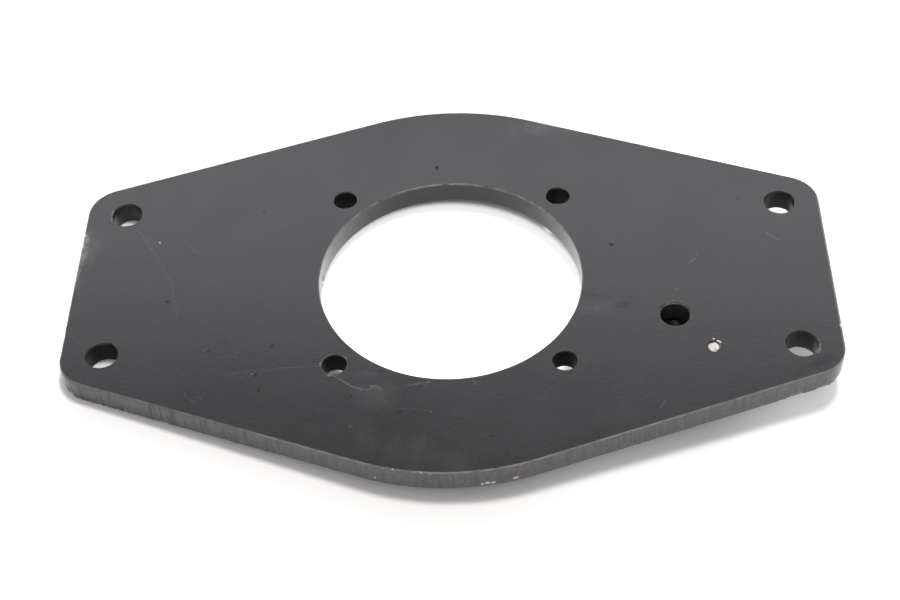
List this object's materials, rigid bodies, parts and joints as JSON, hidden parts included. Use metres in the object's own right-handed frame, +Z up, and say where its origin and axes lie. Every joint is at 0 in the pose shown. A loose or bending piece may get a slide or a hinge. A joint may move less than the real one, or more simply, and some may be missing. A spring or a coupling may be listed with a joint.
{
  "type": "motor mounting bracket",
  "caption": "Flat black steel motor mounting bracket: six-sided plate with rounded ends, a large motor bore, motor and frame bolt holes, a weld nut and a small pin near one end.",
  "frame": {"origin": "on the axis of the motor bore, in the plane of the plate's underside", "axes": "+X along the plate towards the end that carries the nut and the pin, +Y across the plate, +Z up out of the plate's clear top face"},
  "size_m": [0.2934, 0.1872, 0.0178],
  "materials": {
    "black_paint": "satin black paint over thermal-cut steel plate, lightly scratched, with small chips at the edges",
    "pin_steel": "bright bare steel, flat ground end"
  },
  "bodies": {
    "root": {"plate": "black_paint", "nut": "black_paint", "nut_welds": "black_paint", "pin": "pin_steel"}
  },
  "joints": []
}
